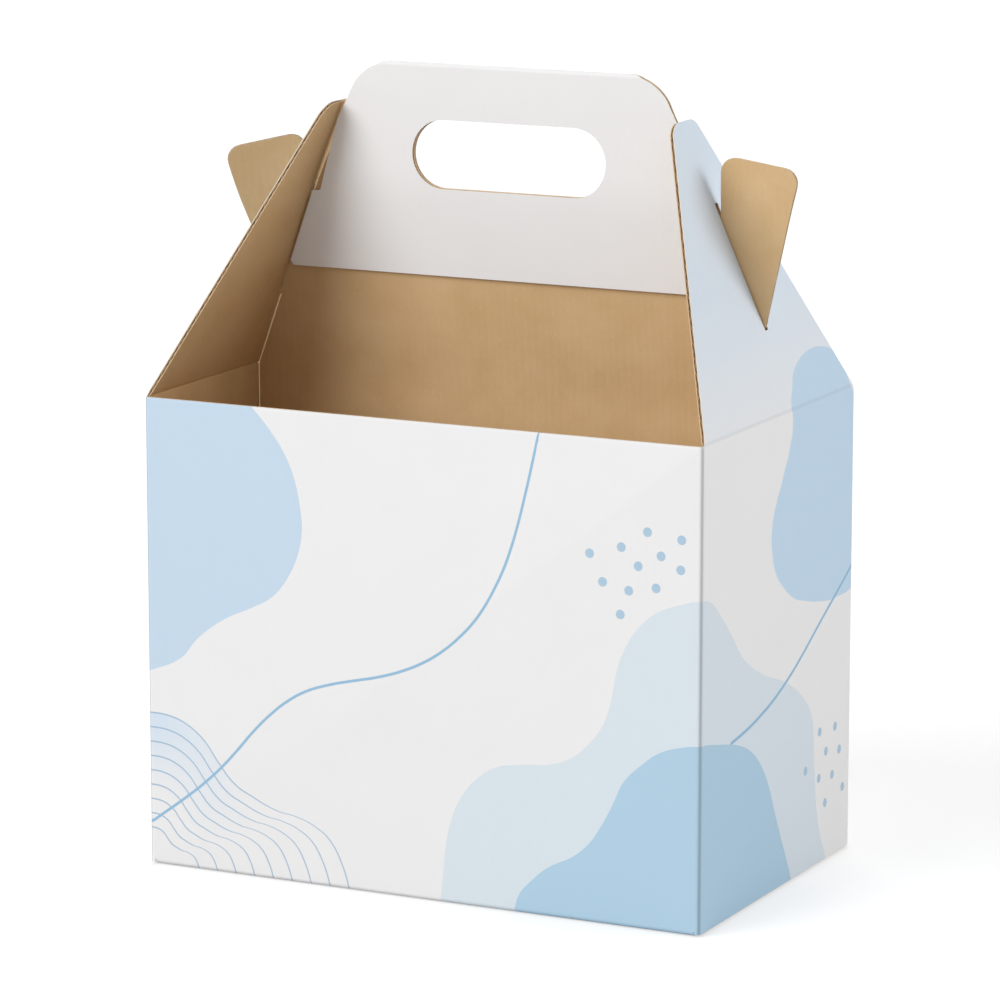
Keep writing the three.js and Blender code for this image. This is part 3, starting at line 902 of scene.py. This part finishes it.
# %% Rings round the foot of the front left corner, mirrored onto the left wall
RINGS_END = 120
TINT_RINGS, TINT_FADE = 5.5, -0.22
TINT_SIDE_FADE, TINT_SIDE_START = -0.024, 1.1
reach, turn = polar(n, n.math("ABSOLUTE", x), z, (0.0, 0.0))
ring_edge = graph(n, turn, ring_reach, low=0, high=90, floor=40, ceiling=100)
ring_steps = n.math("DIVIDE", n.math("SUBTRACT", 1.0, n.math("DIVIDE", reach, ring_edge)), RING_STEP)
ring_off = n.math("ABSOLUTE", n.math("SUBTRACT", ring_steps, n.math("ROUND", ring_steps)))
ring_far = n.math("MULTIPLY", ring_off, n.math("MULTIPLY", ring_edge, RING_STEP))
ring_on = between(n, ring_steps, low=-0.5, high=RING_COUNT + 0.5)
ring_mask = n.math("MULTIPLY", inside(n, n.math("SUBTRACT", RING_HALF_W, ring_far)), ring_on)
near_corner = n.math("LESS_THAN", n.math("ABSOLUTE", x), RINGS_END)
ring_in = n.math("MULTIPLY", n.math("GREATER_THAN", ring_steps, 0.0), near_corner)
ring_band = n.math("MULTIPLY", n.math("SUBTRACT", ring_steps, TINT_RINGS), TINT_FADE, clamp=True)
ring_left = n.math("MULTIPLY_ADD", n.math("ABSOLUTE", x), TINT_SIDE_FADE, TINT_SIDE_START, clamp=True)
tone = n.mix(n.math("MULTIPLY", n.math("MULTIPLY", ring_band, ring_left), ring_in), tone, INK_TINT)
tone = n.mix(n.math("MULTIPLY", ring_mask, RING_INK), tone, INK_RINGS)

# %% Lines and dots of the print
tone = n.mix(graph_line(n, x, z, long_line, LONG_LINE_W, low=-60, high=174), tone, INK_LINE)
tone = n.mix(graph_line(n, x, z, side_line, SIDE_LINE_W, low=266.8, high=470), tone, INK_LINE)
flat_mm = n.put("ShaderNodeCombineXYZ")
n.feed(flat_mm.inputs[0], x)
n.feed(flat_mm.inputs[1], z)
far_away = 50.0
nearest = far_away
for dot in front_dots + side_dots:
    away = n.put("ShaderNodeVectorMath", operation="DISTANCE")
    n.feed(away.inputs[0], flat_mm.outputs[0])
    away.inputs[1].default_value = (*dot, 0)
    nearest = n.math("MINIMUM", away.outputs["Value"], nearest)
tone = n.mix(inside(n, n.math("SUBTRACT", DOT_R, nearest)), tone, INK_DOTS)

# %% Painted shade: fine grey lines along the folds and the gable rim, standing for the shade in the crease grooves
CORNER_FADE, CORNER_SHADE = -3.0, 0.45
RIM_FADE, RIM_SHADE = -1.8, 0.12
CREASE_START = 1.5
painted_crease_shade = 0.0
creases = ((0.0, x, CORNER_FADE, CORNER_SHADE), (SIDE, x, CORNER_FADE, CORNER_SHADE),
           ((BODY_H + SCORE_UP) * MM, z, RIM_FADE, RIM_SHADE))
for at, coordinate, fade, strength in creases:
    gap = n.math("ABSOLUTE", n.math("SUBTRACT", coordinate, at))
    line = n.math("MULTIPLY", n.math("MULTIPLY_ADD", gap, fade, CREASE_START, clamp=True), strength)
    painted_crease_shade = n.math("MAXIMUM", line, painted_crease_shade)
tone = n.mix(painted_crease_shade, tone, CREASE_PAINTED_SHADE)
n.feed(shader.inputs["Base Color"], tone)
print("printed coat has", len(printed.node_tree.nodes), "nodes")

# %% [markdown]
# ## Assembling the board
#
# For each flat sheet we make the white liner at the outside, the kraft liner at the inside and the ribbon
# between them, keep the flat map, and fold. The white liner becomes two pieces, because only the walls and
# gables are printed. With the kraft liner and the waved paper these four pieces stand for the one CAD node:
# they are glued to each other in the real board, and never part.

# %% Build, fold and join the papers
def front_foot(x, along):
    """The wall strip's own flat place for the fold under the front wall"""
    return front_left + FOLD_R * math.pi / 4 + x + HALF_W - OUTER, OUTER - along


def back_foot(x, along):
    """The same for the fold under the back wall, which runs the other way"""
    return back_right + FOLD_R * math.pi / 4 + HALF_W - OUTER - x, OUTER - along


sheets = [
    (wall_sheet, fold_walls, wall_cuts, score_cuts, None),
    (handle_sheet, fold_handle, (), handle_cuts, front_foot),
    (rear_sheet, fold_rear, (), rear_cuts, back_foot),
]
outer_parts, inner_parts, flute_parts = [], [], []
for sheet, fold, across_cuts, along_cuts, foot in sheets:
    outer = liner(sheet, 0.0, across_cuts, along_cuts)
    inner = liner(sheet, BOARD - LINER, across_cuts, along_cuts)
    flute = flute_ribbon(sheet)
    mark_sides(outer, -1)
    mark_sides(inner, 1)
    if foot:
        mark_bleed(outer)
    for body in (outer, inner, flute):
        if sheet is handle_sheet and body is not flute:
            cut_left_ear(body)
        keep_flat_map(body, foot if body is outer else None)
        fold_up(body, fold)
    outer_parts.append(outer)
    inner_parts.append(inner)
    flute_parts.append(flute)
make_piece("printed_liner", outer_parts[:1], [printed, liner_edge])
make_piece("white_liner", outer_parts[1:], [white_coat, liner_edge, printed])
kraft_liner = make_piece("kraft_liner", inner_parts, [kraft_face, kraft_edge])
make_piece("fluting", flute_parts, [flute_paper])
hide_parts("folded_carton")

# %% [markdown]
# ## Floor, light and camera
#
# The floor is plain and pale, and for the camera the world is white too, so the box stands on a clean page
# with only its own soft shadow. One broad light comes from the front left, two weaker ones from the right
# and from behind, and the sky fills the rest.

# %% The floor
FLOOR_HALF, FLOOR_DROP = 30, 0.0003
FLOOR_TONE, FLOOR_GLOW = 0.55, 0.52
floor_bm = bmesh.new()
bmesh.ops.create_grid(floor_bm, x_segments=1, y_segments=1, size=FLOOR_HALF)
floor_mesh = bpy.data.meshes.new("floor")
floor_bm.to_mesh(floor_mesh)
floor_bm.free()
floor = bpy.data.objects.new("floor", floor_mesh)
bpy.context.scene.collection.objects.link(floor)
floor.location.z = -FLOOR_DROP
floor_white = bpy.data.materials.new("floor_white")
floor_white.use_nodes = True
n = Nodes(floor_white.node_tree)
shader = n.tree.nodes["Principled BSDF"]
shader.inputs["Roughness"].default_value = 0.9
shader.inputs["Specular IOR Level"].default_value = 0.0
seen = n.put("ShaderNodeLightPath").outputs["Is Camera Ray"]
shader.inputs["Base Color"].default_value = (FLOOR_TONE, FLOOR_TONE, FLOOR_TONE, 1)
shader.inputs["Emission Color"].default_value = (1, 1, 1, 1)
n.feed(shader.inputs["Emission Strength"], n.math("MULTIPLY", seen, FLOOR_GLOW))
floor_mesh.materials.append(floor_white)

# %% The sky and the lamps
SKY = 0.40
world = bpy.data.worlds.new("studio")
bpy.context.scene.world = world
world.use_nodes = True
n = Nodes(world.node_tree)
sky = n.tree.nodes["Background"]
seen = n.put("ShaderNodeLightPath").outputs["Is Camera Ray"]
n.feed(sky.inputs["Strength"], n.math("MULTIPLY_ADD", seen, 1.0 - SKY, SKY))
sky.inputs["Color"].default_value = (1, 1, 1, 1)


def sun(name, towards, strength, softness):
    lamp = bpy.data.lights.new(name, "SUN")
    lamp.energy = strength
    lamp.angle = math.radians(softness)
    holder = bpy.data.objects.new(name, lamp)
    holder.rotation_euler = Vector(towards).to_track_quat("Z", "Y").to_euler()
    bpy.context.scene.collection.objects.link(holder)


sun("key", towards=(-0.49, -0.78, 0.50), strength=2.16, softness=44)
sun("fill", towards=(0.95, 0.35, 0.45), strength=1.38, softness=40)
sun("rear", towards=(-0.35, 0.85, 0.45), strength=1.00, softness=40)

# %% The camera, solved from the outer corners and outlines of the body in the photograph
FOCAL_PIXELS, IMAGE_PIXELS, SENSOR_MM = 5082.55, 1000, 36
CAM_AZ, CAM_EL = 0.458569, 0.198800
CAM_PLACE = (0.873477, -1.771102, 0.542924)
camera = bpy.data.cameras.new("camera")
camera.lens = FOCAL_PIXELS / IMAGE_PIXELS * SENSOR_MM
camera.sensor_width = SENSOR_MM
holder = bpy.data.objects.new("camera", camera)
away = Vector((math.sin(CAM_AZ) * math.cos(CAM_EL), -math.cos(CAM_AZ) * math.cos(CAM_EL), math.sin(CAM_EL)))
right = Vector((math.cos(CAM_AZ), math.sin(CAM_AZ), 0))
up = away.cross(right)
place = Vector(CAM_PLACE)
holder.matrix_world = Matrix(((right.x, up.x, away.x, place.x), (right.y, up.y, away.y, place.y),
                              (right.z, up.z, away.z, place.z), (0, 0, 0, 1)))
bpy.context.scene.collection.objects.link(holder)
bpy.context.scene.camera = holder
bpy.context.scene.view_settings.view_transform = "Standard"
